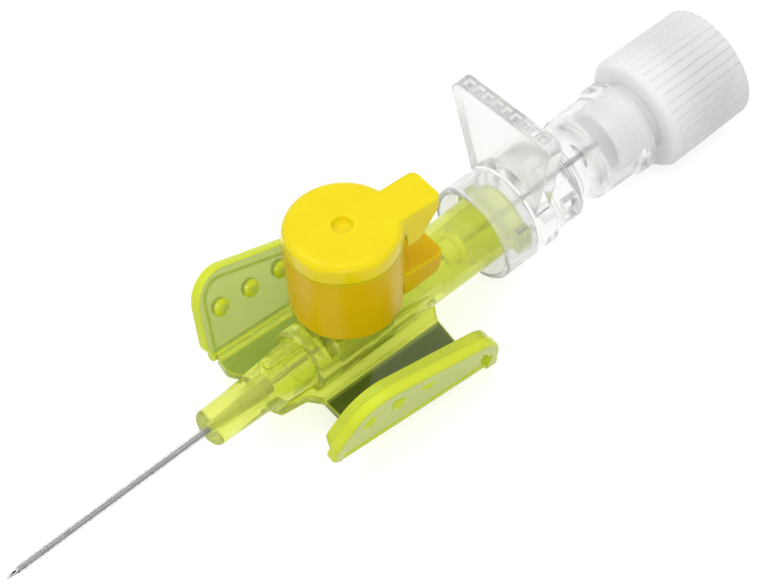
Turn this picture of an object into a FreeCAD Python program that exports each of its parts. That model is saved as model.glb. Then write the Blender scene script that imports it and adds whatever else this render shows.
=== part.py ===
import FreeCAD, Part
import math
import os
from FreeCAD import Vector

os.makedirs("parts", exist_ok=True)

# An intravenous cannula with a side port and folding wings, in millimetres.
# It is drawn with x along the needle from the front of the nose, y to the left and z up, with the needle's
# axis at y = 0, z = 0, and is moved at the end so that the origin is the middle of its footprint.

# Catheter and needle
CATHETER_LENGTH = 19.0
CATHETER_RADIUS = 0.35
CATHETER_TIP_TAPER = 1.0
CATHETER_TIP_WALL = 0.035
NEEDLE_RADIUS = 0.195
NEEDLE_BORE = 0.11
NEEDLE_LEAD = 1.1
BEVEL_LENGTH = 1.2
FLASH_NOTCH_X = -14.4
FLASH_NOTCH_LENGTH = 0.6
FLASH_NOTCH_DEPTH = 0.12

# Catheter hub
NOSE_X = 0.3
NOSE_RADIUS = 1.53
NOSE_END_X = 5.1
NOSE_DRAFT = 0.11
NOSE_ROUND = 0.3
NECK_RADIUS = 1.75
NECK_REAR_RADIUS = 2.05
NECK_STEP = 0.5
BARREL_X = 9.6
BARREL_RADIUS = 2.62
HUB_LENGTH = 30.6
LUMEN_RADIUS = 1.5
LUMEN_START = 7.6
LUMEN_STEP = 1.0
LUER_TAPER = 0.03
LUER_MOUTH_RADIUS = 2.09
LUER_DEPTH = 7.0
FLARE_LENGTH = 5.3
FLARE_RADIUS = 0.75
SPINE_WIDTH = 0.7
SPINE_HEIGHT = 2.3
SPINE_START = 6.3
SLOT_X = 10.9
SLOT_LENGTH = 0.55
SLOT_WIDTH = 1.9
SLOT_TILT = 41.0
LUG_LENGTH = 1.3
LUG_RADIUS = 3.36
LUG_WIDTH = 2.0

# Keel and wing platform under the hub
KEEL_HALF_WIDTH = 1.4
KEEL_START = 5.6
KEEL_SLOPE_LENGTH = 0.85
KEEL_END = 22.9
PLATFORM_THICKNESS = 0.8
PLATFORM_TOP_Z = -1.52
PLATFORM_PITCH = 1.9
PLATFORM_REAR_X = 21.2
LEDGE_Y = 2.75
LEDGE_STEP = 0.3
LEFT_WEB_FRONT_X = 7.1
LEFT_WEB_BOW = 0.7
RIGHT_WEB_FRONT_X = 9.45
WEB_LIP_WIDTH = 0.45
WEB_LIP_HEIGHT = 0.3
WEB_CORNER = 0.7

# Folding wings
FOLD_FRONT_X = 7.0
FOLD_LENGTH = 16.0
FOLD_Y = 7.0
FOLD_PITCH = 5.5
FOLD_BEAD_RADIUS = 0.42
FOLD_GAP = 0.2
WING_ANGLE = 72.5
WING_HEIGHT = 7.6
WING_REAR_HEIGHT = 4.2
WING_SHOULDER = 3.3
WING_HEEL = 2.0
WING_THICKNESS = 0.6
RIM_THICKNESS = 0.95
RIM_WIDTH = 1.1
RIM_ROUND = 0.22
LEFT_OVERHANG = 0.5
RIGHT_OVERHANG = 1.5
BUMP_COUNT = 3
BUMP_SPACING = 3.07
BUMP_FIRST = 1.7
BUMP_HEIGHT_ON_WING = 3.6
BUMP_RADIUS = 0.72
BUMP_RISE = 0.34

# Side port and its cap
PORT_X = 14.75
PORT_RADIUS = 2.75
PORT_BORE = 2.13
PORT_THROAT = 1.3
PORT_THROAT_TOP = 4.5
PORT_LID_GAP = 0.3
SADDLE_FRONT_X = 11.3
SADDLE_REAR_X = 17.85
SADDLE_HALF_WIDTH = 2.64
SADDLE_TOP = 2.65
FLANGE_RADIUS = 3.65
FLANGE_THICKNESS = 0.45
SNAP_RADIUS = 3.04
SNAP_HEIGHT = 0.5
CAP_SPLIT = 9.7
LID_THICKNESS = 1.8
CAP_RADIUS = 4.64
CAP_FOOT_RADIUS = 4.3
CAP_WALL_INNER = 3.3
CAP_FLOOR = 1.0
CAP_FOOT_ROUND = 0.25
CAP_SIDES = 6
CAP_PANEL_SAG = 0.12
CAP_PANEL_TURN = -5.0
CAP_TURN = -5.0
LID_ROUND = 0.8
LID_DIMPLE_RADIUS = 0.88
LID_DIMPLE_DEPTH = 0.5
SPIGOT_RADIUS = 2.02
SPIGOT_TIP_RADIUS = 1.85
SPIGOT_WALL = 0.55
SPIGOT_LENGTH = 1.8
TAB_REACH = 7.5
TAB_HALF_WIDTH = 1.72
TAB_OFFSET = -0.92
TAB_CORNER = 0.75
TAB_EDGE = 0.55
LID_TAB_DEPTH = 3.2
LID_TAB_FOOT = 5.1
RING_TAB_HEIGHT = 2.1
RING_TAB_KNEE_X = 6.6
RING_TAB_KNEE_DEPTH = 1.6
VALVE_LENGTH = 5.8
VALVE_WALL = 0.34

# Needle holder with collar, thumb fin and flash chamber
COLLAR_OVERLAP = 3.0
COLLAR_RADIUS = 4.03
COLLAR_BORE = 3.55
COLLAR_FLOOR_GAP = 0.4
COLLAR_FLOOR_WALL = 1.9
LUER_ENGAGEMENT = 4.7
DRUM_STEP = 0.6
DRUM_RADIUS = 3.6
DRUM_LENGTH = 2.4
WAIST_STEP = 0.7
WAIST_RADIUS = 2.74
WAIST_LENGTH = 0.8
CHAMBER_STEP = 0.9
CHAMBER_RADIUS = 3.5
CHAMBER_REAR_RADIUS = 3.6
CHAMBER_BORE = 2.94
CHAMBER_LENGTH = 5.3
CHAMBER_FRONT_WALL = 0.6
BEAD_SETBACK = 1.6
BEAD_RADIUS = 3.86
BEAD_LENGTH = 1.3
BEAD_STEP = 0.35
BOSS_RADIUS = 0.8
BOSS_LENGTH = 1.1
NEEDLE_STAND_OUT = 0.4
POCKET_COUNT = 6
POCKET_FLOOR_RADIUS = 2.75
POCKET_WIDTH = 2.1
POCKET_END_WALL = 0.5
FIN_THICKNESS = 1.4
FIN_TOP = 10.7
FIN_HALF_TOP = 5.5
FIN_HALF_FOOT = 3.45
FIN_FOOT_Z = 1.6
FIN_CORNER = 0.9
GRIP_SLOTS = 9
GRIP_PITCH = 1.0
GRIP_RIB = 0.3
GRIP_WIDTH = 0.7
GRIP_DEPTH = 0.3
BUSH_FLANGE_RADIUS = 1.38
BUSH_FLANGE_LENGTH = 0.55
BUSH_STEM_RADIUS = 0.95
BUSH_STEM_LENGTH = 1.2

# Luer plug with its vent
PLUG_NECK = 1.0
PLUG_LENGTH = 8.1
PLUG_RADIUS = 4.75
PLUG_REAR_RADIUS = 4.62
PLUG_FACE_RADIUS = 4.35
PLUG_SHOULDER = 0.5
PLUG_ROUND = 0.8
PLUG_SKIRT_WALL = 0.75
PLUG_POCKET_DEPTH = 5.0
PLUG_TUBE_RADIUS = 2.88
PLUG_TUBE_WALL = 0.55
PLUG_TUBE_DEPTH = 3.0
PLUG_BARREL_RADIUS = 3.1
VENT_WALL = 1.2
VENT_SETBACK = 0.6
VENT_RADIUS = 0.9
FILTER_THICKNESS = 0.9
RIB_COUNT = 40
RIB_GROOVE_DEPTH = 0.16
RIB_GROOVE_WIDTH = 0.42
RIB_START = 0.6

# Clearances
FIXED_GAP = 0.02
SLIDE_GAP = 0.025
LUER_GAP = 0.04
TURN_GAP = 0.1
SPLIT_GAP = 0.04

X_AXIS = Vector(1, 0, 0)
Y_AXIS = Vector(0, 1, 0)
Z_AXIS = Vector(0, 0, 1)
ORIGIN = Vector(0, 0, 0)

CATHETER_BORE = NEEDLE_RADIUS + SLIDE_GAP
CATHETER_WALL = CATHETER_RADIUS - CATHETER_BORE
NEEDLE_TIP_X = -CATHETER_LENGTH - NEEDLE_LEAD
FLARE_START = NOSE_X
FLARE_END = FLARE_START + FLARE_LENGTH
LUER_START_X = HUB_LENGTH - LUER_DEPTH
LUMEN_END = LUER_START_X - LUMEN_STEP
SADDLE_LEVEL = SADDLE_TOP + FLANGE_THICKNESS
CAP_BOTTOM = SADDLE_LEVEL + TURN_GAP
CAP_TOP = CAP_SPLIT + LID_THICKNESS
PORT_TOP = CAP_SPLIT - PORT_LID_GAP
RING_TAB_TOP = CAP_BOTTOM + RING_TAB_HEIGHT
COLLAR_X = HUB_LENGTH - COLLAR_OVERLAP
COLLAR_FLOOR_X = HUB_LENGTH + COLLAR_FLOOR_GAP
COLLAR_END_X = COLLAR_FLOOR_X + COLLAR_FLOOR_WALL
LUER_TIP_X = HUB_LENGTH - LUER_ENGAGEMENT
FIN_X = COLLAR_FLOOR_X
DRUM_X = COLLAR_END_X + DRUM_STEP
DRUM_END_X = DRUM_X + DRUM_LENGTH
WAIST_X = DRUM_END_X + WAIST_STEP
WAIST_END_X = WAIST_X + WAIST_LENGTH
CHAMBER_X = WAIST_END_X + CHAMBER_STEP
CHAMBER_FLOOR_X = CHAMBER_X + CHAMBER_FRONT_WALL
CHAMBER_END_X = CHAMBER_X + CHAMBER_LENGTH
BEAD_X = CHAMBER_END_X - BEAD_SETBACK
BOSS_END_X = CHAMBER_FLOOR_X + BOSS_LENGTH
NEEDLE_REAR_X = BOSS_END_X + NEEDLE_STAND_OUT
PLUG_X = CHAMBER_END_X + PLUG_NECK
PLUG_REAR_X = PLUG_X + PLUG_LENGTH
PLUG_TUBE_FRONT_X = CHAMBER_END_X - PLUG_TUBE_DEPTH
VENT_WALL_X = PLUG_REAR_X - VENT_SETBACK - VENT_WALL
FLOOR_Z = -PLUG_RADIUS
BODY_MIDDLE_X = (NEEDLE_TIP_X + PLUG_REAR_X) / 2


def along_x(p, q):
    return Vector(p, 0, q)


def across(p, q):
    return Vector(0, p, q)


def in_plan(p, q):
    return Vector(p, q, 0)


def outline(corners, place):
    """A closed wire through corners (p, q) or (p, q, radius), with each corner rounded by its radius."""
    points = [(c[0], c[1], c[2] if len(c) > 2 else 0.0) for c in corners]
    count = len(points)
    stations = []
    for i in range(count):
        p, q, radius = points[i]
        if radius <= 0:
            stations.append([(p, q)])
            continue
        before, after = points[i - 1], points[(i + 1) % count]
        to_before = (before[0] - p, before[1] - q)
        to_after = (after[0] - p, after[1] - q)
        length_before = math.hypot(*to_before)
        length_after = math.hypot(*to_after)
        u = (to_before[0] / length_before, to_before[1] / length_before)
        v = (to_after[0] / length_after, to_after[1] / length_after)
        half = math.acos(max(-1.0, min(1.0, u[0] * v[0] + u[1] * v[1]))) / 2
        reach = min(radius / math.tan(half), 0.49 * length_before, 0.49 * length_after)
        true_radius = reach * math.tan(half)
        middle = (u[0] + v[0], u[1] + v[1])
        size = math.hypot(*middle)
        out = (true_radius / math.sin(half) - true_radius) / size
        stations.append([
            (p + u[0] * reach, q + u[1] * reach),
            (p + middle[0] * out, q + middle[1] * out),
            (p + v[0] * reach, q + v[1] * reach),
        ])
    edges = []
    for i in range(count):
        here, following = stations[i], stations[(i + 1) % count]
        if len(here) == 3:
            edges.append(Part.Arc(place(*here[0]), place(*here[1]), place(*here[2])).toShape())
        start, end = place(*here[-1]), place(*following[0])
        if start.distanceToPoint(end) > 1e-6:
            edges.append(Part.LineSegment(start, end).toShape())
    return Part.Wire(edges)


def turned(corners):
    """The solid that an (x, radius) profile makes when it turns about the needle's axis."""
    return Part.Face(outline(corners, along_x)).revolve(ORIGIN, X_AXIS, 360)


def turned_on_port(corners):
    """The solid that a (radius, z) profile makes when it turns about the port's own axis, at x = 0."""
    return Part.Face(outline(corners, along_x)).revolve(ORIGIN, Z_AXIS, 360)


def slab(x0, x1, y0, y1, z0, z1):
    return Part.makeBox(x1 - x0, y1 - y0, z1 - z0, Vector(x0, y0, z0))


def solid_of(shape):
    """The one solid of a finished piece, without the seams that joining left on its faces."""
    clean = shape.removeSplitter()
    if len(clean.Solids) != 1:
        raise ValueError("a piece came out as %d solids" % len(clean.Solids))
    return clean.Solids[0]


def fold_z(x):
    """Height of the wings' fold line, which drops to the rear and ends on the floor."""
    rear_x = FOLD_FRONT_X + FOLD_LENGTH * math.cos(math.radians(FOLD_PITCH))
    rear_z = FLOOR_Z + FOLD_BEAD_RADIUS * math.cos(math.radians(FOLD_PITCH))
    return rear_z + (rear_x - x) * math.tan(math.radians(FOLD_PITCH))


def platform_z(x):
    """Height of the top of the platform that carries the wings."""
    return PLATFORM_TOP_Z - (x - KEEL_START) * math.tan(math.radians(PLATFORM_PITCH))


def luer_radius(x):
    """Inner radius of the hub's tapered socket."""
    return LUER_MOUTH_RADIUS - (HUB_LENGTH - x) * LUER_TAPER


def platform():
    """The thin plate under the hub: a ledge beside the barrel, then a web that slopes down to each fold."""
    end_y = FOLD_Y - FOLD_BEAD_RADIUS - FOLD_GAP / 2
    lip_y = end_y - WEB_LIP_WIDTH
    edge_run = 0.15
    half_end = PLATFORM_THICKNESS / 2

    def section(x):
        top, low = platform_z(x), fold_z(x)
        half = [
            (LEDGE_Y, top),
            (LEDGE_Y + edge_run, top - LEDGE_STEP),
            (lip_y - edge_run, low + half_end),
            (lip_y, low + half_end + WEB_LIP_HEIGHT),
            (end_y, low + half_end + WEB_LIP_HEIGHT),
            (end_y, low - half_end),
            (LEDGE_Y, top - PLATFORM_THICKNESS),
        ]
        ring = half + [(-y, z) for y, z in reversed(half)]
        points = [Vector(x, y, z) for y, z in ring]
        return Part.makePolygon(points + points[:1])

    plate = Part.makeLoft([section(KEEL_START), section(KEEL_END)], True, True)
    root_y = LEDGE_Y
    middle_y = (root_y + end_y) / 2
    front_x = KEEL_START + KEEL_SLOPE_LENGTH
    rear_x = KEEL_END - WEB_CORNER
    plan = outline([
        (front_x, -KEEL_HALF_WIDTH, 0.3),
        (RIGHT_WEB_FRONT_X - WEB_CORNER, -KEEL_HALF_WIDTH - 0.3, 0.5),
        (RIGHT_WEB_FRONT_X, -root_y, 0.2),
        (RIGHT_WEB_FRONT_X, -end_y),
        (PLATFORM_REAR_X, -end_y),
        (PLATFORM_REAR_X, -root_y, WEB_CORNER),
        (rear_x, -KEEL_HALF_WIDTH, 0.3),
        (rear_x, KEEL_HALF_WIDTH, 0.3),
        (PLATFORM_REAR_X, root_y, WEB_CORNER),
        (PLATFORM_REAR_X, end_y),
        (LEFT_WEB_FRONT_X, end_y),
        (LEFT_WEB_FRONT_X - LEFT_WEB_BOW, middle_y, 1.2),
        (LEFT_WEB_FRONT_X, root_y, 0.6),
        (front_x, KEEL_HALF_WIDTH, 0.3),
    ], in_plan)
    column = Part.Face(plan).extrude(Z_AXIS * -2 * FLOOR_Z)
    column.translate(Vector(0, 0, 2 * FLOOR_Z))
    plate = plate.common(column)
    for side in (-1, 1):
        plate = plate.cut(fold_rod(side, FOLD_BEAD_RADIUS + FOLD_GAP))
    return plate


def fold_rod(side, radius):
    """A rod along one wing's fold line."""
    start = Vector(FOLD_FRONT_X, side * FOLD_Y, fold_z(FOLD_FRONT_X))
    pitch = math.radians(FOLD_PITCH)
    direction = Vector(math.cos(pitch), 0, -math.sin(pitch))
    spare = 3.0 if radius > FOLD_BEAD_RADIUS else 0.0
    return Part.makeCylinder(radius, FOLD_LENGTH + 2 * spare, start - direction * spare, direction)


def keel():
    """The solid rib that joins the round hub to the platform."""
    def foot(x):
        return platform_z(x) - PLATFORM_THICKNESS
    slope_end = KEEL_START + KEEL_SLOPE_LENGTH
    profile = outline([
        (KEEL_START, 0),
        (KEEL_START, -NECK_RADIUS * 0.75),
        (slope_end, foot(slope_end), 0.35),
        (KEEL_END - 0.9, foot(KEEL_END - 0.9), 0.4),
        (KEEL_END, -BARREL_RADIUS * 0.9),
        (KEEL_END, 0),
    ], along_x)
    rib = Part.Face(profile).extrude(Y_AXIS * (2 * KEEL_HALF_WIDTH))
    rib.translate(Vector(0, -KEEL_HALF_WIDTH, 0))
    return rib


def port_tower():
    """The side port: a saddle on the barrel, a round flange and the tower with its snap ring."""
    saddle = Part.Face(outline([
        (SADDLE_FRONT_X, -SADDLE_HALF_WIDTH, 0.5),
        (SADDLE_REAR_X, -SADDLE_HALF_WIDTH, 1.2),
        (SADDLE_REAR_X, SADDLE_HALF_WIDTH, 1.2),
        (SADDLE_FRONT_X, SADDLE_HALF_WIDTH, 0.5),
    ], in_plan)).extrude(Z_AXIS * (SADDLE_TOP + 0.8))
    saddle.translate(Vector(0, 0, -0.8))
    snap_z = CAP_BOTTOM + CAP_FLOOR + TURN_GAP
    tower = turned_on_port([
        (0, 0),
        (PORT_RADIUS, 0),
        (PORT_RADIUS, SADDLE_TOP),
        (FLANGE_RADIUS, SADDLE_TOP, 0.1),
        (FLANGE_RADIUS, SADDLE_LEVEL, 0.1),
        (PORT_RADIUS, SADDLE_LEVEL),
        (PORT_RADIUS, snap_z),
        (SNAP_RADIUS, snap_z, 0.08),
        (SNAP_RADIUS, snap_z + SNAP_HEIGHT / 2, 0.08),
        (PORT_RADIUS, snap_z + SNAP_HEIGHT),
        (PORT_RADIUS, PORT_TOP, 0.2),
        (0, PORT_TOP),
    ])
    tower.translate(Vector(PORT_X, 0, 0))
    return saddle.fuse(tower)


def catheter_hub():
    nose_rear = NOSE_RADIUS + NOSE_DRAFT
    hub = turned([
        (NOSE_X, 0),
        (NOSE_X, NOSE_RADIUS, NOSE_ROUND),
        (NOSE_END_X, nose_rear),
        (NOSE_END_X + NECK_STEP, NECK_RADIUS),
        (BARREL_X, NECK_REAR_RADIUS),
        (BARREL_X, BARREL_RADIUS, 0.25),
        (HUB_LENGTH, BARREL_RADIUS, 0.12),
        (HUB_LENGTH, 0),
    ])
    spine = slab(SPINE_START, BARREL_X + 0.3, -SPINE_WIDTH / 2, SPINE_WIDTH / 2, 0.5, SPINE_HEIGHT)
    hub = hub.fuse([keel(), platform(), port_tower(), spine])
    lug_ring = turned([
        (HUB_LENGTH - LUG_LENGTH, LUMEN_RADIUS),
        (HUB_LENGTH - LUG_LENGTH, LUG_RADIUS, 0.15),
        (HUB_LENGTH, LUG_RADIUS, 0.15),
        (HUB_LENGTH, LUMEN_RADIUS),
    ])
    lug_band = slab(HUB_LENGTH - 2 * LUG_LENGTH, HUB_LENGTH + 1, -2 * LUG_RADIUS, 2 * LUG_RADIUS,
                    -LUG_WIDTH / 2, LUG_WIDTH / 2)
    hub = hub.fuse(lug_ring.common(lug_band))

    seat = CATHETER_RADIUS + FIXED_GAP
    hub = hub.cut(turned([
        (NOSE_X - 1, 0),
        (NOSE_X - 1, seat),
        (FLARE_START, seat),
        (FLARE_END, FLARE_RADIUS + FIXED_GAP),
        (LUMEN_START - 1.2, FLARE_RADIUS + FIXED_GAP),
        (LUMEN_START, LUMEN_RADIUS),
        (LUMEN_END, LUMEN_RADIUS),
        (LUER_START_X, luer_radius(LUER_START_X)),
        (HUB_LENGTH, LUER_MOUTH_RADIUS),
        (HUB_LENGTH + 1, LUER_MOUTH_RADIUS),
        (HUB_LENGTH + 1, 0),
    ]))
    bore = turned_on_port([
        (0, 0),
        (PORT_THROAT, 0),
        (PORT_THROAT, PORT_THROAT_TOP),
        (PORT_BORE - (PORT_TOP - PORT_THROAT_TOP) * LUER_TAPER, PORT_THROAT_TOP),
        (PORT_BORE, PORT_TOP),
        (PORT_BORE, PORT_TOP + 1),
        (0, PORT_TOP + 1),
    ])
    bore.translate(Vector(PORT_X, 0, 0))
    hub = hub.cut(bore)
    for tilt in (-SLOT_TILT, SLOT_TILT):
        window = slab(SLOT_X, SLOT_X + SLOT_LENGTH, -SLOT_WIDTH / 2, SLOT_WIDTH / 2, 1.2, 4)
        window.rotate(ORIGIN, X_AXIS, tilt)
        hub = hub.cut(window)
    return solid_of(hub)


def catheter_tube():
    """The soft tube, tapered at its tip and flared in the hub by the ferrule."""
    tip_radius = CATHETER_BORE + CATHETER_TIP_WALL
    return turned([
        (-CATHETER_LENGTH, CATHETER_BORE),
        (-CATHETER_LENGTH, tip_radius),
        (-CATHETER_LENGTH + CATHETER_TIP_TAPER, CATHETER_RADIUS),
        (FLARE_START, CATHETER_RADIUS),
        (FLARE_END, FLARE_RADIUS),
        (FLARE_END, FLARE_RADIUS - CATHETER_WALL),
        (FLARE_START, CATHETER_BORE),
    ])


def ferrule():
    """The steel funnel that holds the flared end of the tube in the nose."""
    wall = 0.1
    start = FLARE_START + FLARE_LENGTH * 0.6
    rise = (FLARE_RADIUS - CATHETER_RADIUS) / FLARE_LENGTH
    outer = CATHETER_BORE + (start - FLARE_START) * rise - FIXED_GAP
    outer_end = FLARE_RADIUS - CATHETER_WALL - FIXED_GAP
    return turned([
        (start, outer - wall),
        (start, outer),
        (FLARE_END, outer_end),
        (FLARE_END + 0.8, outer_end),
        (FLARE_END + 0.8, outer_end - wall),
        (FLARE_END, outer_end - wall),
    ])


def port_valve():
    """The soft sleeve that closes the port from inside and opens under pressure."""
    half = VALVE_LENGTH / 2
    outer = LUMEN_RADIUS - FIXED_GAP
    return turned([
        (PORT_X - half, outer - VALVE_WALL),
        (PORT_X - half, outer),
        (PORT_X + half, outer),
        (PORT_X + half, outer - VALVE_WALL),
    ])


def wing_outline(overhang):
    """The wing's edge, from the fold at q = 0 to the free edge, with p along the fold."""
    heel = [(-overhang, 0.9, 0.9)]
    if overhang > LEFT_OVERHANG:
        heel.append((-overhang, WING_HEIGHT * 0.37, WING_HEEL))
    front_top = -LEFT_OVERHANG + (overhang - LEFT_OVERHANG) * 0.85
    return [(0.1, 0)] + heel + [
        (front_top, WING_HEIGHT, WING_SHOULDER),
        (FOLD_LENGTH - 1.1, WING_REAR_HEIGHT, WING_SHOULDER),
        (FOLD_LENGTH - 0.1, 0),
    ]


def wing(side, overhang):
    """One wing: a thin plate with a rim on its outer face, three bumps and a round root along the fold."""
    half = WING_THICKNESS / 2
    edge = outline(wing_outline(overhang), in_plan)
    body = Part.Face(edge).extrude(Z_AXIS * RIM_THICKNESS)
    rounds = [e for e in body.Edges if e.CenterOfMass.y > 1 and abs(e.tangentAt(e.FirstParameter).z) < 0.1]
    body = body.makeFillet(RIM_ROUND, rounds)
    inside = Part.Face(edge.makeOffset2D(-RIM_WIDTH)).extrude(Z_AXIS * RIM_THICKNESS)
    foot = slab(RIM_WIDTH - overhang, FOLD_LENGTH - RIM_WIDTH - 0.2, -1, 2 * RIM_WIDTH, 0, RIM_THICKNESS)
    recess = inside.fuse(foot)
    recess.translate(Z_AXIS * (WING_THICKNESS - RIM_THICKNESS))
    recess = recess.common(slab(-5, FOLD_LENGTH + 5, -2, WING_HEIGHT + 5, -1, RIM_THICKNESS - WING_THICKNESS))
    body = body.cut(recess)
    body.translate(Z_AXIS * (half - RIM_THICKNESS))
    root = Part.makeCylinder(FOLD_BEAD_RADIUS, FOLD_LENGTH, ORIGIN, X_AXIS)
    shape = body.fuse(root)
    dome_radius = (BUMP_RADIUS ** 2 + BUMP_RISE ** 2) / (2 * BUMP_RISE)
    for i in range(BUMP_COUNT):
        centre = Vector(BUMP_FIRST + i * BUMP_SPACING, BUMP_HEIGHT_ON_WING, 0)
        lift = Z_AXIS * (dome_radius - BUMP_RISE - half)
        upper = Part.makeSphere(dome_radius, centre - lift)
        lower = Part.makeSphere(dome_radius, centre + lift)
        shape = shape.fuse(upper.common(lower))
    shape.rotate(ORIGIN, X_AXIS, WING_ANGLE)
    shape.rotate(ORIGIN, Y_AXIS, FOLD_PITCH)
    shape.translate(Vector(FOLD_FRONT_X, FOLD_Y, fold_z(FOLD_FRONT_X)))
    if side < 0:
        shape = shape.mirror(ORIGIN, Y_AXIS)
    return solid_of(shape)


def panelled(foot_radius, top_radius, z0, z1):
    """A tapered prism with six slightly bowed panels, whose corners lie on the two radii."""
    step = 2 * math.pi / CAP_SIDES
    start = math.radians(CAP_PANEL_TURN)

    def at_angle(radius, turns, z):
        return Vector(radius * math.cos(start + turns * step), radius * math.sin(start + turns * step), z)

    def ring(radius, z):
        edges = []
        for i in range(CAP_SIDES):
            corner = at_angle(radius, i - 0.5, z)
            middle = at_angle(radius - CAP_PANEL_SAG, i, z)
            following = at_angle(radius, i + 0.5, z)
            edges.append(Part.Arc(corner, middle, following).toShape())
        return Part.Wire(edges)
    return Part.makeLoft([ring(foot_radius, z0), ring(top_radius, z1)], True, True)


def tab(profile, inner):
    """A finger tab: a side profile, limited to a plan with rounded outer corners."""
    left, right = TAB_OFFSET + TAB_HALF_WIDTH, TAB_OFFSET - TAB_HALF_WIDTH
    side = Part.Face(outline(profile, along_x)).extrude(Y_AXIS * (left - right))
    side.translate(Vector(0, right, 0))
    plan = outline([
        (inner, right),
        (TAB_REACH, right, TAB_CORNER),
        (TAB_REACH, left, TAB_CORNER),
        (inner, left),
    ], in_plan)
    column = Part.Face(plan).extrude(Z_AXIS * CAP_TOP)
    return side.common(column)


def on_port(shape):
    """Turns a part of the cap to where the photograph's cap points, and sets it on the port."""
    shape.rotate(ORIGIN, Z_AXIS, CAP_TURN)
    shape.translate(Vector(PORT_X, 0, 0))
    return solid_of(shape)


def port_cap_ring():
    """The cap's skirt, which snaps round the tower and swivels on it, with its lower finger tab."""
    top = CAP_SPLIT - SPLIT_GAP / 2
    hole = PORT_RADIUS + TURN_GAP
    floor = CAP_BOTTOM + CAP_FLOOR
    outer = turned_on_port([
        (0, CAP_BOTTOM),
        (CAP_FOOT_RADIUS, CAP_BOTTOM, CAP_FOOT_ROUND),
        (CAP_RADIUS, top),
        (0, top),
    ])
    shape = outer.common(panelled(CAP_FOOT_RADIUS, CAP_RADIUS, CAP_BOTTOM - 0.01, top + 0.01))
    root = CAP_WALL_INNER + 0.2
    shape = shape.fuse(tab([
        (root, CAP_BOTTOM + 0.1),
        (CAP_FOOT_RADIUS, CAP_BOTTOM + 0.1, 0.3),
        (RING_TAB_KNEE_X, RING_TAB_TOP - RING_TAB_KNEE_DEPTH, 0.5),
        (TAB_REACH, RING_TAB_TOP - TAB_EDGE, 0.15),
        (TAB_REACH, RING_TAB_TOP, 0.15),
        (root, RING_TAB_TOP),
    ], root))
    shape = shape.cut(turned_on_port([
        (0, CAP_BOTTOM - 1),
        (hole, CAP_BOTTOM - 1),
        (hole, floor),
        (CAP_WALL_INNER, floor, 0.15),
        (CAP_WALL_INNER, top + 1),
        (0, top + 1),
    ]))
    return on_port(shape)


def port_cap_lid():
    """The cap's lid, with a spigot that closes the port, a dimple on top and the upper finger tab."""
    base = CAP_SPLIT + SPLIT_GAP / 2
    disc = turned_on_port([
        (0, base),
        (CAP_RADIUS, base, 0.1),
        (CAP_RADIUS, CAP_TOP, LID_ROUND),
        (0, CAP_TOP),
    ])
    disc = disc.common(panelled(CAP_RADIUS, CAP_RADIUS, base - 1, CAP_TOP + 1))
    inner = CAP_RADIUS - 1.4
    ear = tab([
        (inner, CAP_TOP - LID_TAB_DEPTH),
        (LID_TAB_FOOT, CAP_TOP - LID_TAB_DEPTH, 0.3),
        (TAB_REACH, CAP_TOP - TAB_EDGE, 0.15),
        (TAB_REACH, CAP_TOP, 0.15),
        (inner, CAP_TOP),
    ], inner)
    ear = ear.cut(Part.makeCylinder(CAP_RADIUS + TURN_GAP, base))
    tip = base - SPIGOT_LENGTH
    spigot = turned_on_port([
        (SPIGOT_TIP_RADIUS - SPIGOT_WALL, tip, 0.1),
        (SPIGOT_TIP_RADIUS, tip, 0.2),
        (SPIGOT_RADIUS, base - 0.25),
        (SPIGOT_RADIUS, base + 0.2),
        (SPIGOT_TIP_RADIUS - SPIGOT_WALL, base + 0.2),
    ])
    shape = disc.fuse([ear, spigot])
    shape = shape.cut(turned_on_port([
        (0, CAP_TOP - LID_DIMPLE_DEPTH),
        (LID_DIMPLE_RADIUS - 0.1, CAP_TOP - LID_DIMPLE_DEPTH, 0.15),
        (LID_DIMPLE_RADIUS, CAP_TOP + 0.5),
        (0, CAP_TOP + 0.5),
    ]))
    return on_port(shape)


def needle_tube():
    """The steel needle: a bevel that faces up, a flash notch in its side and an open rear end."""
    length = NEEDLE_REAR_X - NEEDLE_TIP_X
    start = Vector(NEEDLE_TIP_X, 0, 0)
    tube = Part.makeCylinder(NEEDLE_RADIUS, length, start, X_AXIS)
    tube = tube.cut(Part.makeCylinder(NEEDLE_BORE, length, start, X_AXIS))
    ahead = NEEDLE_TIP_X - 0.3
    slope = 2 * NEEDLE_RADIUS / BEVEL_LENGTH
    wedge = Part.Face(outline([
        (ahead, -NEEDLE_RADIUS - 0.3 * slope),
        (NEEDLE_TIP_X + BEVEL_LENGTH + 0.6, NEEDLE_RADIUS + 0.6 * slope),
        (ahead, NEEDLE_RADIUS + 0.6 * slope),
    ], along_x)).extrude(Y_AXIS * (4 * NEEDLE_RADIUS))
    wedge.translate(Vector(0, -2 * NEEDLE_RADIUS, 0))
    notch = slab(FLASH_NOTCH_X, FLASH_NOTCH_X + FLASH_NOTCH_LENGTH, -1, 1,
                 NEEDLE_RADIUS - FLASH_NOTCH_DEPTH, 1)
    return solid_of(tube.cut([wedge, notch]))


def needle_bush():
    """The cream bush on the needle, in front of the holder's tapered tip."""
    rear = LUER_TIP_X - FIXED_GAP
    front = rear - BUSH_FLANGE_LENGTH - BUSH_STEM_LENGTH
    bore = NEEDLE_RADIUS + FIXED_GAP
    return turned([
        (front, bore),
        (front, BUSH_STEM_RADIUS, 0.15),
        (rear - BUSH_FLANGE_LENGTH, BUSH_STEM_RADIUS),
        (rear - BUSH_FLANGE_LENGTH, BUSH_FLANGE_RADIUS, 0.1),
        (rear, BUSH_FLANGE_RADIUS, 0.1),
        (rear, bore),
    ])


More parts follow.
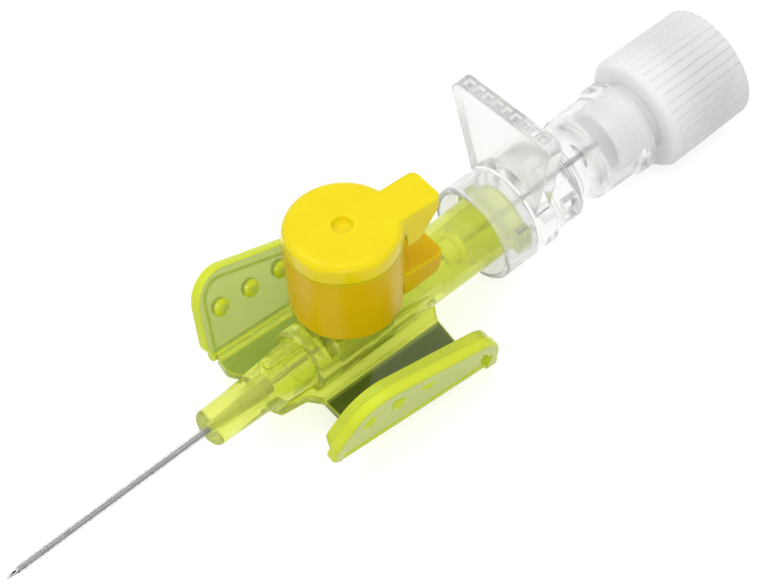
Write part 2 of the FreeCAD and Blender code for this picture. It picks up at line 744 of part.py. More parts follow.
def thumb_fin():
    """The flared cross plate that the thumb pushes, with a ribbed channel along its top edge."""
    face = outline([
        (-FIN_HALF_FOOT, FIN_FOOT_Z),
        (-FIN_HALF_TOP, FIN_TOP, FIN_CORNER),
        (FIN_HALF_TOP, FIN_TOP, FIN_CORNER),
        (FIN_HALF_FOOT, FIN_FOOT_Z),
        (0, 0),
    ], across)
    plate = Part.Face(face).extrude(X_AXIS * FIN_THICKNESS)
    plate.translate(Vector(FIN_X, 0, 0))
    front = FIN_X + (FIN_THICKNESS - GRIP_WIDTH) / 2
    half_slot = (GRIP_PITCH - GRIP_RIB) / 2
    for i in range(GRIP_SLOTS):
        y = (i - (GRIP_SLOTS - 1) / 2) * GRIP_PITCH
        plate = plate.cut(slab(front, front + GRIP_WIDTH, y - half_slot, y + half_slot,
                               FIN_TOP - GRIP_DEPTH, FIN_TOP + 1))
    return plate


def needle_holder():
    """The clear moulding: tapered tip, collar over the hub, fluted drum, waist and flash chamber."""
    bore = NEEDLE_RADIUS + FIXED_GAP
    tip_radius = luer_radius(LUER_TIP_X) - LUER_GAP
    root_radius = luer_radius(COLLAR_FLOOR_X) - LUER_GAP
    bead_end = BEAD_X + BEAD_LENGTH
    shape = turned([
        (COLLAR_X, COLLAR_BORE, 0.1),
        (COLLAR_X, COLLAR_RADIUS, 0.25),
        (COLLAR_END_X, COLLAR_RADIUS, 0.25),
        (DRUM_X, DRUM_RADIUS, 0.2),
        (DRUM_END_X, DRUM_RADIUS, 0.3),
        (WAIST_X, WAIST_RADIUS, 0.3),
        (WAIST_END_X, WAIST_RADIUS, 0.3),
        (CHAMBER_X, CHAMBER_RADIUS, 0.4),
        (BEAD_X, CHAMBER_REAR_RADIUS, 0.2),
        (BEAD_X + BEAD_STEP, BEAD_RADIUS, 0.25),
        (bead_end, BEAD_RADIUS, 0.25),
        (CHAMBER_END_X, CHAMBER_REAR_RADIUS - 0.1, 0.1),
        (CHAMBER_END_X, CHAMBER_BORE + 0.02),
        (CHAMBER_FLOOR_X, CHAMBER_BORE, 0.5),
        (CHAMBER_FLOOR_X, BOSS_RADIUS, 0.2),
        (BOSS_END_X, BOSS_RADIUS - 0.1, 0.1),
        (BOSS_END_X, bore),
        (LUER_TIP_X, bore),
        (LUER_TIP_X, tip_radius, 0.2),
        (COLLAR_FLOOR_X, root_radius),
        (COLLAR_FLOOR_X, COLLAR_BORE, 0.2),
    ])
    core = Part.makeCylinder(WAIST_RADIUS, 2 * FIN_THICKNESS, Vector(FIN_X - FIN_THICKNESS, 0, 0), X_AXIS)
    shape = shape.fuse(thumb_fin().cut(core))
    pocket_start = DRUM_X + POCKET_END_WALL
    pocket_end = DRUM_END_X - POCKET_END_WALL
    step = 360.0 / POCKET_COUNT
    for i in range(POCKET_COUNT):
        pocket = slab(pocket_start, pocket_end, -POCKET_WIDTH / 2, POCKET_WIDTH / 2,
                      POCKET_FLOOR_RADIUS, DRUM_RADIUS + 0.5)
        pocket.rotate(ORIGIN, X_AXIS, (i + 0.5) * step)
        shape = shape.cut(pocket)
    return solid_of(shape)


def luer_plug():
    """The ribbed plug: a tube that seals in the flash chamber, a vented end wall and a grip skirt."""
    bore = PLUG_TUBE_RADIUS - PLUG_TUBE_WALL
    pocket_x = PLUG_REAR_X - PLUG_POCKET_DEPTH
    shape = turned([
        (PLUG_TUBE_FRONT_X, bore),
        (PLUG_TUBE_FRONT_X, PLUG_TUBE_RADIUS - 0.08, 0.12),
        (PLUG_X, PLUG_TUBE_RADIUS),
        (PLUG_X, PLUG_FACE_RADIUS, 0.35),
        (PLUG_X + PLUG_SHOULDER, PLUG_RADIUS, 0.3),
        (PLUG_REAR_X, PLUG_REAR_RADIUS, PLUG_ROUND),
        (PLUG_REAR_X, PLUG_REAR_RADIUS - PLUG_SKIRT_WALL, 0.2),
        (pocket_x, PLUG_REAR_RADIUS - PLUG_SKIRT_WALL, 0.3),
        (pocket_x, PLUG_BARREL_RADIUS, 0.3),
        (VENT_WALL_X + VENT_WALL, PLUG_BARREL_RADIUS - 0.1, 0.2),
        (VENT_WALL_X + VENT_WALL, VENT_RADIUS, 0.1),
        (VENT_WALL_X, VENT_RADIUS),
        (VENT_WALL_X, bore, 0.1),
    ])
    groove_front = PLUG_X + RIB_START
    half = RIB_GROOVE_WIDTH / 2
    lift = 0.3
    grooves = []
    for i in range(RIB_COUNT):
        front_ring = [(-half, PLUG_RADIUS + lift), (half, PLUG_RADIUS + lift),
                      (0, PLUG_RADIUS - RIB_GROOVE_DEPTH)]
        rear_ring = [(-half, PLUG_REAR_RADIUS + lift), (half, PLUG_REAR_RADIUS + lift),
                     (0, PLUG_REAR_RADIUS - RIB_GROOVE_DEPTH)]
        front = [Vector(groove_front, y, z) for y, z in front_ring]
        rear = [Vector(PLUG_REAR_X + 0.1, y, z) for y, z in rear_ring]
        wires = [Part.makePolygon(front + front[:1]), Part.makePolygon(rear + rear[:1])]
        groove = Part.makeLoft(wires, True, True)
        groove.rotate(ORIGIN, X_AXIS, i * 360.0 / RIB_COUNT)
        grooves.append(groove)
    return solid_of(shape.cut(grooves))


def vent_filter():
    """The porous disc that lets air out of the flash chamber and keeps blood in."""
    rear = VENT_WALL_X - FIXED_GAP
    radius = PLUG_TUBE_RADIUS - PLUG_TUBE_WALL - FIXED_GAP
    return turned([
        (rear - FILTER_THICKNESS, 0),
        (rear - FILTER_THICKNESS, radius, 0.1),
        (rear, radius, 0.12),
        (rear, 0),
    ])


PIECES = {
    "catheter_hub": catheter_hub(),
    "catheter_tube": catheter_tube(),
    "ferrule": ferrule(),
    "port_valve": port_valve(),
    "left_wing": wing(1, LEFT_OVERHANG),
    "right_wing": wing(-1, RIGHT_OVERHANG),
    "port_cap_ring": port_cap_ring(),
    "port_cap_lid": port_cap_lid(),
    "needle_tube": needle_tube(),
    "needle_bush": needle_bush(),
    "needle_holder": needle_holder(),
    "luer_plug": luer_plug(),
    "vent_filter": vent_filter(),
}

for name, piece in PIECES.items():
    piece.translate(Vector(-BODY_MIDDLE_X, 0, -FLOOR_Z))
    box = piece.BoundBox
    if not piece.isValid():
        raise ValueError(name + " isn't a valid solid")
    piece.exportStep("parts/" + name + ".step")
    print("%-16s %7.2f mm3  x %6.2f %6.2f  y %6.2f %6.2f  z %6.2f %6.2f" % (
        name, piece.Volume, box.XMin, box.XMax, box.YMin, box.YMax, box.ZMin, box.ZMax))
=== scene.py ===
import math
import bmesh
import bpy
from mathutils import Matrix, Vector


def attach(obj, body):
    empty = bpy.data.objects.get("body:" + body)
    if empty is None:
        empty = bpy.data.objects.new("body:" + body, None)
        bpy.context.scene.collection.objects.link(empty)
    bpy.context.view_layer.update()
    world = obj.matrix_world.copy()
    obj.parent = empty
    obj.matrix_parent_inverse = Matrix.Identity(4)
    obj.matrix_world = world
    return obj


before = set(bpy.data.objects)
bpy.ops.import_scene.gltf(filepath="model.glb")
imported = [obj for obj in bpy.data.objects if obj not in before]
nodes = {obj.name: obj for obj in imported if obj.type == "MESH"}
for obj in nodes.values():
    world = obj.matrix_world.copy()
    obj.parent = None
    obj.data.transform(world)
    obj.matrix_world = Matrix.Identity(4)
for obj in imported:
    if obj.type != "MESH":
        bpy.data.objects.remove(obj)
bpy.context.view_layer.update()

MM = 0.001
BODY_MIDDLE_X = 16.3
FLOOR_Z = -4.75


def at(x, y, z):
    """A point given in millimetres from the front of the nose, on the needle's axis, in the model's frame."""
    return Vector(((x - BODY_MIDDLE_X) * MM, y * MM, (z - FLOOR_Z) * MM))


# Materials

TEXTURE_LOW = 0.3
TEXTURE_HIGH = 0.7
LIGHT_PASSED = 0.85
DYED_LIGHT = (0.93, 0.97, 0.5)
DYED_IOR = 1.35


def new_material(name):
    material = bpy.data.materials.new(name)
    material.use_nodes = True
    tree = material.node_tree
    tree.nodes.clear()
    output = tree.nodes.new("ShaderNodeOutputMaterial")
    return material, tree, output


def principled(tree, **sockets):
    shader = tree.nodes.new("ShaderNodeBsdfPrincipled")
    for name, value in sockets.items():
        shader.inputs[name.replace("_", " ")].default_value = value
    return shader


def arithmetic(tree, operation, first, second):
    """A Math node on two values, each a socket or a plain number."""
    node = tree.nodes.new("ShaderNodeMath")
    node.operation = operation
    for socket, value in zip(node.inputs, (first, second)):
        if isinstance(value, (int, float)):
            socket.default_value = value
        else:
            tree.links.new(value, socket)
    return node.outputs["Value"]


def remap(tree, value, from_low, from_high, to_low=0.0, to_high=1.0):
    """A number carried from one range to another, and held at the limits."""
    node = tree.nodes.new("ShaderNodeMapRange")
    tree.links.new(value, node.inputs["Value"])
    names = ("From Min", "From Max", "To Min", "To Max")
    for name, number in zip(names, (from_low, from_high, to_low, to_high)):
        node.inputs[name].default_value = number
    return node.outputs["Result"]


def split(tree, source):
    """The three parts of the object's own coordinates or normal."""
    coords = tree.nodes.new("ShaderNodeTexCoord")
    parts = tree.nodes.new("ShaderNodeSeparateXYZ")
    tree.links.new(coords.outputs[source], parts.inputs["Vector"])
    return parts.outputs


def noise(tree, scale, detail=3.0, roughness=0.55, stretch=(1, 1, 1)):
    """Noise in the object's own coordinates, with the scale in features per millimetre."""
    coords = tree.nodes.new("ShaderNodeTexCoord")
    mapping = tree.nodes.new("ShaderNodeMapping")
    mapping.inputs["Scale"].default_value = [s * scale / MM for s in stretch]
    texture = tree.nodes.new("ShaderNodeTexNoise")
    texture.inputs["Scale"].default_value = 1.0
    texture.inputs["Detail"].default_value = detail
    texture.inputs["Roughness"].default_value = roughness
    tree.links.new(coords.outputs["Object"], mapping.inputs["Vector"])
    tree.links.new(mapping.outputs["Vector"], texture.inputs["Vector"])
    return texture


def ramp(tree, source, low, high, start=TEXTURE_LOW, end=TEXTURE_HIGH):
    """A colour that goes from one to another as a texture rises."""
    node = tree.nodes.new("ShaderNodeValToRGB")
    for element, position, colour in zip(node.color_ramp.elements, (start, end), (low, high)):
        element.position = position
        element.color = (*colour, 1.0)
    tree.links.new(source.outputs["Fac"], node.inputs["Fac"])
    return node.outputs["Color"]


def value_range(tree, source, low, high):
    """A number that goes from one to another as a texture rises."""
    return remap(tree, source.outputs["Fac"], TEXTURE_LOW, TEXTURE_HIGH, low, high)


def rounded(tree, radius):
    """The normal that a small moulded rounding would give along the edges."""
    node = tree.nodes.new("ShaderNodeBevel")
    node.samples = 6
    node.inputs["Radius"].default_value = radius * MM
    return node.outputs["Normal"]


def bump(tree, source, shader, strength, distance, edge=0.0):
    """Fine unevenness, over a rounding of the edges where one is given."""
    node = tree.nodes.new("ShaderNodeBump")
    if edge > 0:
        tree.links.new(rounded(tree, edge), node.inputs["Normal"])
    node.inputs["Strength"].default_value = strength
    node.inputs["Distance"].default_value = distance * MM
    tree.links.new(source.outputs["Fac"], node.inputs["Height"])
    tree.links.new(node.outputs["Normal"], shader.inputs["Normal"])


def lit_through(tree, output, shader, tint):
    """Lets lamp light pass a see-through plastic, so that what lies under it isn't black."""
    path = tree.nodes.new("ShaderNodeLightPath")
    clear = tree.nodes.new("ShaderNodeBsdfTransparent")
    clear.inputs["Color"].default_value = (*tint, 1.0)
    mix = tree.nodes.new("ShaderNodeMixShader")
    passed = arithmetic(tree, "MULTIPLY", path.outputs["Is Shadow Ray"], LIGHT_PASSED)
    tree.links.new(passed, mix.inputs["Fac"])
    tree.links.new(shader.outputs["BSDF"], mix.inputs[1])
    tree.links.new(clear.outputs["BSDF"], mix.inputs[2])
    tree.links.new(mix.outputs["Shader"], output.inputs["Surface"])


def turned_from(tree, direction, flat, steep):
    """0 where a face lies square to a direction of its own piece, 1 where it turns away or is an edge."""
    coords = tree.nodes.new("ShaderNodeTexCoord")
    dot = tree.nodes.new("ShaderNodeVectorMath")
    dot.operation = "DOT_PRODUCT"
    dot.inputs[1].default_value = direction
    tree.links.new(coords.outputs["Normal"], dot.inputs[0])
    square = arithmetic(tree, "ABSOLUTE", dot.outputs["Value"], 0.0)
    return remap(tree, square, flat, steep)


def near_edge(tree, radius, start=0.985, end=0.85):
    """1 in a band along the solid's own edges and steps, 0 on its open faces."""
    geometry = tree.nodes.new("ShaderNodeNewGeometry")
    dot = tree.nodes.new("ShaderNodeVectorMath")
    dot.operation = "DOT_PRODUCT"
    tree.links.new(rounded(tree, radius), dot.inputs[0])
    tree.links.new(geometry.outputs["Normal"], dot.inputs[1])
    return remap(tree, dot.outputs["Value"], start, end)


def mixed_colour(tree, factor, first, second):
    """A mix of two colours, each a socket or a plain colour."""
    node = tree.nodes.new("ShaderNodeMix")
    node.data_type = "RGBA"
    colours = [socket for socket in node.inputs if socket.type == "RGBA"]
    tree.links.new(factor, node.inputs["Factor"])
    for socket, value in zip(colours, (first, second)):
        if isinstance(value, tuple):
            socket.default_value = (*value, 1.0)
        else:
            tree.links.new(value, socket)
    return next(socket for socket in node.outputs if socket.type == "RGBA")


def tinted_plastic(name, low, high, painted_edge_colour, flat_clear, edge_clear, edge_mask, roughness, tint, ior,
                   web=None, edge=0.12, depth=0.05):
    """A dyed, see-through plastic: clearer where it is flat and fuller along its edges, where an edge colour
    is painted in: painted glow when it is lighter, painted shade when it is darker.

    web is a pair of functions, for where painted shade lies on the flat faces and for the colour of that
    shade.
    """
    material, tree, output = new_material(name)
    shader = principled(tree, IOR=ior)
    cloud = noise(tree, 0.35, detail=4.0, stretch=(0.4, 1, 1))
    colour = ramp(tree, cloud, low, high)
    mask = edge_mask(tree)
    # Painted shade: a darker colour on the webs' flat faces, where given.
    if web is not None:
        colour = mixed_colour(tree, web[0](tree), colour, web[1](tree))
    # Painted light along the edges: the edge colour is mixed in where the mask finds edges and steps.
    colour = mixed_colour(tree, mask, colour, painted_edge_colour)
    tree.links.new(colour, shader.inputs["Base Color"])
    tree.links.new(remap(tree, mask, 0.0, 1.0, flat_clear, edge_clear), shader.inputs["Transmission Weight"])
    flow = noise(tree, 1.2, detail=3.0, stretch=(0.25, 1, 1))
    gloss = value_range(tree, flow, roughness * 0.7, roughness * 1.4)
    tree.links.new(gloss, shader.inputs["Roughness"])
    bump(tree, flow, shader, strength=0.15, distance=depth, edge=edge)
    lit_through(tree, output, shader, tint)
    return material


def solid_plastic(name, low, high, roughness, glow=0.0, glow_radius=(1, 1, 1), glow_depth=1.2, shine=0.5,
                  edge=0.0, painted_edge_colour=None, grain_depth=0.02):
    """A moulded, cloudy plastic: light goes a little way in, the gloss is slightly uneven, and a given edge
    colour puts a painted highlight along the edges.
    """
    material, tree, output = new_material(name)
    shader = principled(tree, IOR=1.48, Specular_IOR_Level=shine)
    if glow > 0:
        shader.inputs["Subsurface Weight"].default_value = glow
        shader.inputs["Subsurface Radius"].default_value = glow_radius
        shader.inputs["Subsurface Scale"].default_value = glow_depth * MM
    cloud = noise(tree, 0.3, detail=4.0)
    colour = ramp(tree, cloud, low, high)
    # Painted highlight: a lighter colour along the edges.
    if painted_edge_colour is not None:
        colour = mixed_colour(tree, near_edge(tree, edge, start=0.998, end=0.95), colour, painted_edge_colour)
    tree.links.new(colour, shader.inputs["Base Color"])
    grain = noise(tree, 6.0, detail=2.0)
    gloss = value_range(tree, grain, roughness * 0.8, roughness * 1.25)
    tree.links.new(gloss, shader.inputs["Roughness"])
    bump(tree, grain, shader, strength=0.06, distance=grain_depth, edge=edge)
    tree.links.new(shader.outputs["BSDF"], output.inputs["Surface"])
    return material


def drawn_steel():
    """Drawn steel: fine lines along the tube, a soft sheen, and painted shade on the side towards the floor.
    """
    material, tree, output = new_material("steel")
    shader = principled(tree, Metallic=1.0)
    lines = noise(tree, 14.0, detail=2.0, stretch=(0.02, 1, 1))
    colour = ramp(tree, lines, (0.22, 0.215, 0.205), (0.40, 0.39, 0.375), start=0.25, end=0.75)
    # Painted shade: the colour darkens on the faces that turn towards the floor.
    under = remap(tree, split(tree, "Normal")["Z"], 0.6, 0.15)
    colour = mixed_colour(tree, under, colour, (0.035, 0.03, 0.03))
    tree.links.new(colour, shader.inputs["Base Color"])
    gloss = value_range(tree, lines, 0.16, 0.32)
    tree.links.new(gloss, shader.inputs["Roughness"])
    bump(tree, lines, shader, strength=0.15, distance=0.01)
    tree.links.new(shader.outputs["BSDF"], output.inputs["Surface"])
    return material


# The wings' fold line: its slope, its front end on the left side, and how far the wings stand up
FOLD_PITCH = math.radians(5.5)
FOLD_FRONT = (7.0, 7.0, -2.7985)
WING_ANGLE = math.radians(72.5)


def wing_edges(side):
    """The edge mask of one wing, where its painted edge glow lies, from the way that its flat faces point."""
    square = Vector((math.cos(WING_ANGLE) * math.sin(FOLD_PITCH), -side * math.sin(WING_ANGLE),
                     math.cos(WING_ANGLE) * math.cos(FOLD_PITCH)))

    def mask(tree):
        turned = turned_from(tree, square, flat=0.985, steep=0.9)
        return arithmetic(tree, "MAXIMUM", turned, near_edge(tree, 0.35))
    return mask


def edges(radius):
    """An edge mask for a piece whose painted edge colour is about this wide, in millimetres."""
    def mask(tree):
        return near_edge(tree, radius)
    return mask


# Where the painted shade on the webs fades in and out, in millimetres from the middle
SHADED_WEB_START = (2.82, 2.98)
SHADED_WEB_END = (5.95, 6.1)


def shaded_web_faces(tree):
    """1 on the flat faces of the sloping webs beside the barrel, where the hub's colour gives way to painted
    shade.
    """
    aside = arithmetic(tree, "ABSOLUTE", split(tree, "Object")["Y"], 0.0)
    beyond_ledge = remap(tree, aside, SHADED_WEB_START[0] * MM, SHADED_WEB_START[1] * MM)
    before_lip = remap(tree, aside, SHADED_WEB_END[1] * MM, SHADED_WEB_END[0] * MM)
    flat = arithmetic(tree, "SUBTRACT", 1.0, turned_from(tree, (0, 0, 1), flat=0.8, steep=0.7))
    return arithmetic(tree, "MULTIPLY", arithmetic(tree, "MULTIPLY", beyond_ledge, before_lip), flat)


def web_shade_colour(tree):
    """Painted shade on the webs: darker on the right web than on the left one, which more light passes."""
    left = remap(tree, split(tree, "Object")["Y"], -1.0 * MM, 1.0 * MM)
    return mixed_colour(tree, left, (0.10, 0.14, 0.02), (0.34, 0.44, 0.08))


# Painted edge glow of the dyed plastics, along edges, steps and the rings round the wings' bumps.
PAINTED_EDGE_GLOW = (0.74, 0.84, 0.03)
HUB = tinted_plastic(
    "hub_plastic", (0.79, 0.85, 0.15), (0.85, 0.90, 0.22), PAINTED_EDGE_GLOW, flat_clear=0.76, edge_clear=0.25,
    edge_mask=edges(0.3), roughness=0.09, tint=DYED_LIGHT, ior=DYED_IOR, web=(shaded_web_faces, web_shade_colour))
# The wings are one plastic in two colours: the left wing's greyer colour is painted shade, for the floor's
# shade and dark reflections seen through the plate; the right wing keeps a fuller colour.
SHADED_LEFT_WING = tinted_plastic(
    "left_wing_shaded_plastic", (0.58, 0.67, 0.22), (0.64, 0.72, 0.27), PAINTED_EDGE_GLOW, flat_clear=0.62, edge_clear=0.1,
    edge_mask=wing_edges(1), roughness=0.1, tint=DYED_LIGHT, ior=DYED_IOR)
RIGHT_WING = tinted_plastic(
    "right_wing_plastic", (0.64, 0.74, 0.04), (0.70, 0.79, 0.06), PAINTED_EDGE_GLOW, flat_clear=0.26,
    edge_clear=0.1, edge_mask=wing_edges(-1), roughness=0.1, tint=DYED_LIGHT, ior=DYED_IOR)
WING_RIM = tinted_plastic(
    "wing_rim_plastic", (0.68, 0.78, 0.04), (0.74, 0.83, 0.06), PAINTED_EDGE_GLOW, flat_clear=0.3, edge_clear=0.1,
    edge_mask=edges(0.3), roughness=0.12, tint=DYED_LIGHT, ior=DYED_IOR)
# The holder's whitish edge colour is a painted highlight.
CLEAR = tinted_plastic(
    "clear_plastic", (0.90, 0.902, 0.905), (0.94, 0.942, 0.945), (0.93, 0.93, 0.93), flat_clear=0.8,
    edge_clear=0.5, edge_mask=edges(0.25), roughness=0.13, tint=(0.97, 0.97, 0.97), ior=1.28)
# The catheter's darker edge colour is painted shade.
CATHETER = tinted_plastic(
    "catheter_plastic", (0.78, 0.78, 0.775), (0.84, 0.84, 0.835), (0.7, 0.7, 0.7), flat_clear=0.84,
    edge_clear=0.7, edge_mask=edges(0.03), roughness=0.06, tint=(0.9, 0.9, 0.9), ior=1.3,
    edge=0.0, depth=0.001)
# The ring's and lid's lighter edge colours are painted highlights.
RING = solid_plastic(
    "cap_ring_plastic", (0.74, 0.48, 0.001), (0.80, 0.53, 0.002), roughness=0.3, glow=0.25,
    glow_radius=(1.0, 0.8, 0.03), shine=0.14, edge=0.3, painted_edge_colour=(0.92, 0.70, 0.005), grain_depth=0.006)
LID = solid_plastic(
    "cap_plastic", (0.90, 0.71, 0.002), (0.93, 0.75, 0.004), roughness=0.15, glow=0.3,
    glow_radius=(1.0, 0.7, 0.03), shine=0.22, edge=0.3, painted_edge_colour=(0.95, 0.80, 0.006), grain_depth=0.004)
PLUG = solid_plastic(
    "plug_plastic", (0.88, 0.875, 0.865), (0.93, 0.925, 0.92), roughness=0.38, glow=0.9,
    glow_depth=2.6, shine=0.35, edge=0.15)
BUSH = solid_plastic(
    "bush_plastic", (0.86, 0.82, 0.42), (0.92, 0.88, 0.50), roughness=0.35, glow=0.5,
    glow_radius=(1.0, 0.8, 0.4), edge=0.12)
VALVE = solid_plastic(
    "valve_rubber", (0.62, 0.62, 0.50), (0.70, 0.70, 0.56), roughness=0.5, glow=0.4,
    glow_radius=(1.0, 0.9, 0.7))
FILTER = solid_plastic("filter_plastic", (0.86, 0.86, 0.85), (0.94, 0.94, 0.93), roughness=0.85)
STEEL = drawn_steel()


def dress(name, material):
    mesh = nodes[name].data
    mesh.materials.clear()
    mesh.materials.append(material)


for node_name, material in {
    "catheter_hub": HUB,
    "catheter_tube": CATHETER,
    "ferrule": STEEL,
    "port_valve": VALVE,
    "left_wing": SHADED_LEFT_WING,
    "right_wing": RIGHT_WING,
    "port_cap_ring": RING,
    "port_cap_lid": LID,
    "needle_tube": STEEL,
    "needle_bush": BUSH,
    "needle_holder": CLEAR,
    "luer_plug": PLUG,
    "vent_filter": FILTER,
}.items():
    dress(node_name, material)


# Thick rim on the inner face of the right wing. A corner is its place along the fold, its distance from
# the fold and its rounding, in millimetres.

RIM_CORNERS = [(-1.5, 2.0, 0), (-1.5, 2.81, 2.0), (0.35, 7.6, 3.3), (14.9, 4.2, 3.3), (15.47, 1.8, 0)]
RIM_INSET = 0.12
RIM_WIDTH = 0.75
RIM_FOOT = 0.2
RIM_TOP = 1.1
RIM_ROUND = 0.2
RIM_RUN_OUT = 0.9
RIM_END_HEIGHT = 0.15


def rounded_line(corners, steps=10):
    """Points along a line through corners, each rounded by its own radius."""
    points = [Vector(corners[0][:2])]
    for before, corner, after in zip(corners, corners[1:], corners[2:]):
        middle = Vector(corner[:2])
        first = (middle - Vector(before[:2])).normalized()
        second = (Vector(after[:2]) - middle).normalized()
        turn = first.angle(second)
        reach = corner[2] * math.tan(turn / 2)
        centre = middle + (second - first).normalized() * corner[2] / math.cos(turn / 2)
        start = middle - first * reach - centre
        way = -1 if first.x * second.y - first.y * second.x < 0 else 1
        for i in range(steps + 1):
            angle = way * turn * i / steps
            points.append(centre + Vector((start.x * math.cos(angle) - start.y * math.sin(angle),
                                           start.x * math.sin(angle) + start.y * math.cos(angle))))
    points.append(Vector(corners[-1][:2]))
    return points


def on_right_wing(p, q, lift):
    """A point on the right wing: p along the fold, q from the fold to the free edge, lift towards the hub."""
    y = q * math.cos(WING_ANGLE) - lift * math.sin(WING_ANGLE)
    z = q * math.sin(WING_ANGLE) + lift * math.cos(WING_ANGLE)
    return at(FOLD_FRONT[0] + p * math.cos(FOLD_PITCH) + z * math.sin(FOLD_PITCH), -FOLD_FRONT[1] - y,
              FOLD_FRONT[2] - p * math.sin(FOLD_PITCH) + z * math.cos(FOLD_PITCH))


def rim_section(top):
    """The rim's section as pairs of inset and lift, with soft upper corners."""
    near, far = RIM_INSET, RIM_INSET + RIM_WIDTH
    soft = min(RIM_ROUND, (top - RIM_FOOT) / 2)
    cut = 0.3 * soft
    return [(near, RIM_FOOT), (near, top - soft), (near + cut, top - cut), (near + soft, top),
            (far - soft, top), (far - cut, top - cut), (far, top - soft), (far, RIM_FOOT)]


def rim_shape():
    """Vertices and faces of a band along the wing's free edge that runs out at both ends."""
    line = rounded_line(RIM_CORNERS)
    lengths = [0.0]
    for a, b in zip(line, line[1:]):
        lengths.append(lengths[-1] + (b - a).length)
    low = RIM_FOOT + RIM_END_HEIGHT
    vertices = []
    for i, point in enumerate(line):
        along = (line[min(i + 1, len(line) - 1)] - line[max(i - 1, 0)]).normalized()
        inward = Vector((along.y, -along.x))
        end = min(lengths[i], lengths[-1] - lengths[i])
        share = math.sin(min(end / RIM_RUN_OUT, 1.0) * math.pi / 2)
        for inset, lift in rim_section(low + (RIM_TOP - low) * share):
            place = point + inward * inset
            vertices.append(on_right_wing(place.x, place.y, lift))
    count = len(vertices) // len(line)
    faces = []
    for i in range(len(line) - 1):
        for j in range(count):
            a, b = i * count + j, i * count + (j + 1) % count
            faces.append((a, b, b + count, a + count))
    last = (len(line) - 1) * count
    faces.append(tuple(range(count)))
    faces.append(tuple(last + j for j in reversed(range(count))))
    return vertices, faces


def build_wing_rim():
    """The rim as a piece of its own, which moves with the right wing."""
    vertices, faces = rim_shape()
    mesh = bpy.data.meshes.new("right_wing_rim")
    mesh.from_pydata(vertices, [], faces)
    mesh.validate()
    solid = bmesh.new()
    solid.from_mesh(mesh)
    bmesh.ops.recalc_face_normals(solid, faces=solid.faces)
    solid.to_mesh(mesh)
    solid.free()
    mesh.materials.append(WING_RIM)
    rim = bpy.data.objects.new("right_wing_rim", mesh)
    bpy.context.scene.collection.objects.link(rim)
    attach(rim, "right_wing")


build_wing_rim()


# Floor, world, lamps and camera, with sizes and places in metres

FLOOR_LOW = (0.60, 0.60, 0.60)
FLOOR_HIGH = (0.63, 0.63, 0.63)
FLOOR_GLOW = 0.62
FLOOR_HALF_SIZE = 3.0
FLOOR_DROP = 0.00005
WORLD_COLOUR = (0.97, 0.98, 1.0, 1.0)
WORLD_LIGHT = 0.66
WHITE = (1.0, 1.0, 1.0, 1.0)


def background_rays(tree):
    """1 for the rays that show the background: from the camera, mirrored, or through the plastics."""
    path = tree.nodes.new("ShaderNodeLightPath")
    direct = arithmetic(tree, "MAXIMUM", path.outputs["Is Camera Ray"], path.outputs["Is Glossy Ray"])
    return arithmetic(tree, "MAXIMUM", direct, path.outputs["Is Transmission Ray"])


def floor_material():
    material, tree, output = new_material("floor")
    plain = tree.nodes.new("ShaderNodeBsdfDiffuse")
    paper = noise(tree, 0.05, detail=2.0)
    tree.links.new(ramp(tree, paper, FLOOR_LOW, FLOOR_HIGH), plain.inputs["Color"])
    glow = tree.nodes.new("ShaderNodeEmission")
    tree.links.new(arithmetic(tree, "MULTIPLY", background_rays(tree), FLOOR_GLOW), glow.inputs["Strength"])
    both = tree.nodes.new("ShaderNodeAddShader")
    tree.links.new(plain.outputs["BSDF"], both.inputs[0])
    tree.links.new(glow.outputs["Emission"], both.inputs[1])
    tree.links.new(both.outputs["Shader"], output.inputs["Surface"])
    return material


def build_floor():
    size = FLOOR_HALF_SIZE
    corners = [(-size, -size, 0), (size, -size, 0), (size, size, 0), (-size, size, 0)]
    mesh = bpy.data.meshes.new("floor")
    mesh.from_pydata(corners, [], [(0, 1, 2, 3)])
    floor = bpy.data.objects.new("floor", mesh)
    floor.location.z = -FLOOR_DROP
    mesh.materials.append(floor_material())
    bpy.context.scene.collection.objects.link(floor)


def build_world():
    world = bpy.data.worlds.new("world")
    bpy.context.scene.world = world
    world.use_nodes = True
    tree = world.node_tree
    tree.nodes.clear()
    output = tree.nodes.new("ShaderNodeOutputWorld")
    lamp = tree.nodes.new("ShaderNodeBackground")
    lamp.inputs["Color"].default_value = WORLD_COLOUR
    lamp.inputs["Strength"].default_value = WORLD_LIGHT
    back = tree.nodes.new("ShaderNodeBackground")
    back.inputs["Color"].default_value = WHITE
    back.inputs["Strength"].default_value = 1.0
    mix = tree.nodes.new("ShaderNodeMixShader")
    tree.links.new(background_rays(tree), mix.inputs["Fac"])
    tree.links.new(lamp.outputs["Background"], mix.inputs[1])
    tree.links.new(back.outputs["Background"], mix.inputs[2])
    tree.links.new(mix.outputs["Shader"], output.inputs["Surface"])


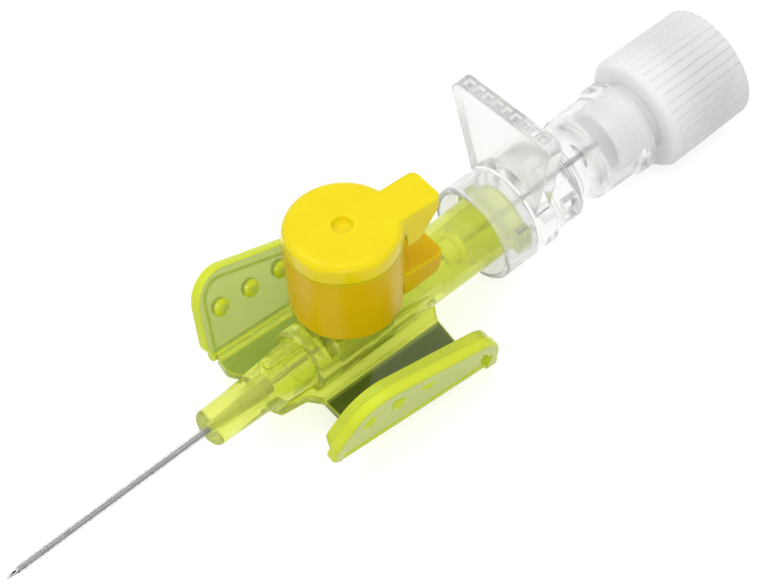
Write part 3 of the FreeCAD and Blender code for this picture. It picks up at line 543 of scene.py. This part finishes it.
def area_lamp(name, place, size, power):
    """A rectangular lamp that faces the middle of the model's footprint."""
    data = bpy.data.lights.new(name, "AREA")
    data.shape = "RECTANGLE"
    data.size, data.size_y = size
    data.energy = power
    lamp = bpy.data.objects.new(name, data)
    lamp.location = place
    lamp.rotation_euler = (-Vector(place)).to_track_quat("-Z", "Y").to_euler()
    bpy.context.scene.collection.objects.link(lamp)


# The picture's right, the way to the camera, and the picture's up
RIGHT = Vector((0.7245, -0.6877, -0.0387)).normalized()
TOWARDS = Vector((-0.4344, -0.4999, 0.7489)).normalized()
UP = TOWARDS.cross(RIGHT).normalized()
PIXELS_PER_MM = 13.32
IMAGE_WIDTH = 763
CAMERA_DISTANCE = 1.0
SENSOR_WIDTH = 36.0
AIM_POINT = (16.0, 0.0, 2.0)
AIM_RIGHT = 21.5
AIM_UP = 5.7


def build_camera():
    """A long lens at the photograph's angle, aimed at the point that falls on the middle of its frame."""
    aim = at(*AIM_POINT) + RIGHT * (AIM_RIGHT / PIXELS_PER_MM * MM) + UP * (AIM_UP / PIXELS_PER_MM * MM)
    data = bpy.data.cameras.new("camera")
    data.sensor_width = SENSOR_WIDTH
    data.sensor_fit = "HORIZONTAL"
    data.lens = SENSOR_WIDTH * CAMERA_DISTANCE / (IMAGE_WIDTH / PIXELS_PER_MM * MM)
    data.clip_start = 0.05
    data.clip_end = 20.0
    camera = bpy.data.objects.new("camera", data)
    turn = Matrix((RIGHT, UP, TOWARDS)).transposed()
    camera.matrix_world = Matrix.Translation(aim + TOWARDS * CAMERA_DISTANCE) @ turn.to_4x4()
    bpy.context.scene.collection.objects.link(camera)
    bpy.context.scene.camera = camera


build_floor()
build_world()
area_lamp("key", (-0.12, 0.22, 0.5), size=(0.35, 0.35), power=0.72)
area_lamp("front", (-0.36, -0.44, 0.35), size=(0.22, 0.1), power=0.55)
area_lamp("top", (0.15, -0.1, 0.6), size=(0.5, 0.5), power=0.6)
area_lamp("glint", (-0.33, -0.42, 0.42), size=(0.07, 0.03), power=0.16)
build_camera()
bpy.context.scene.view_settings.view_transform = "Standard"
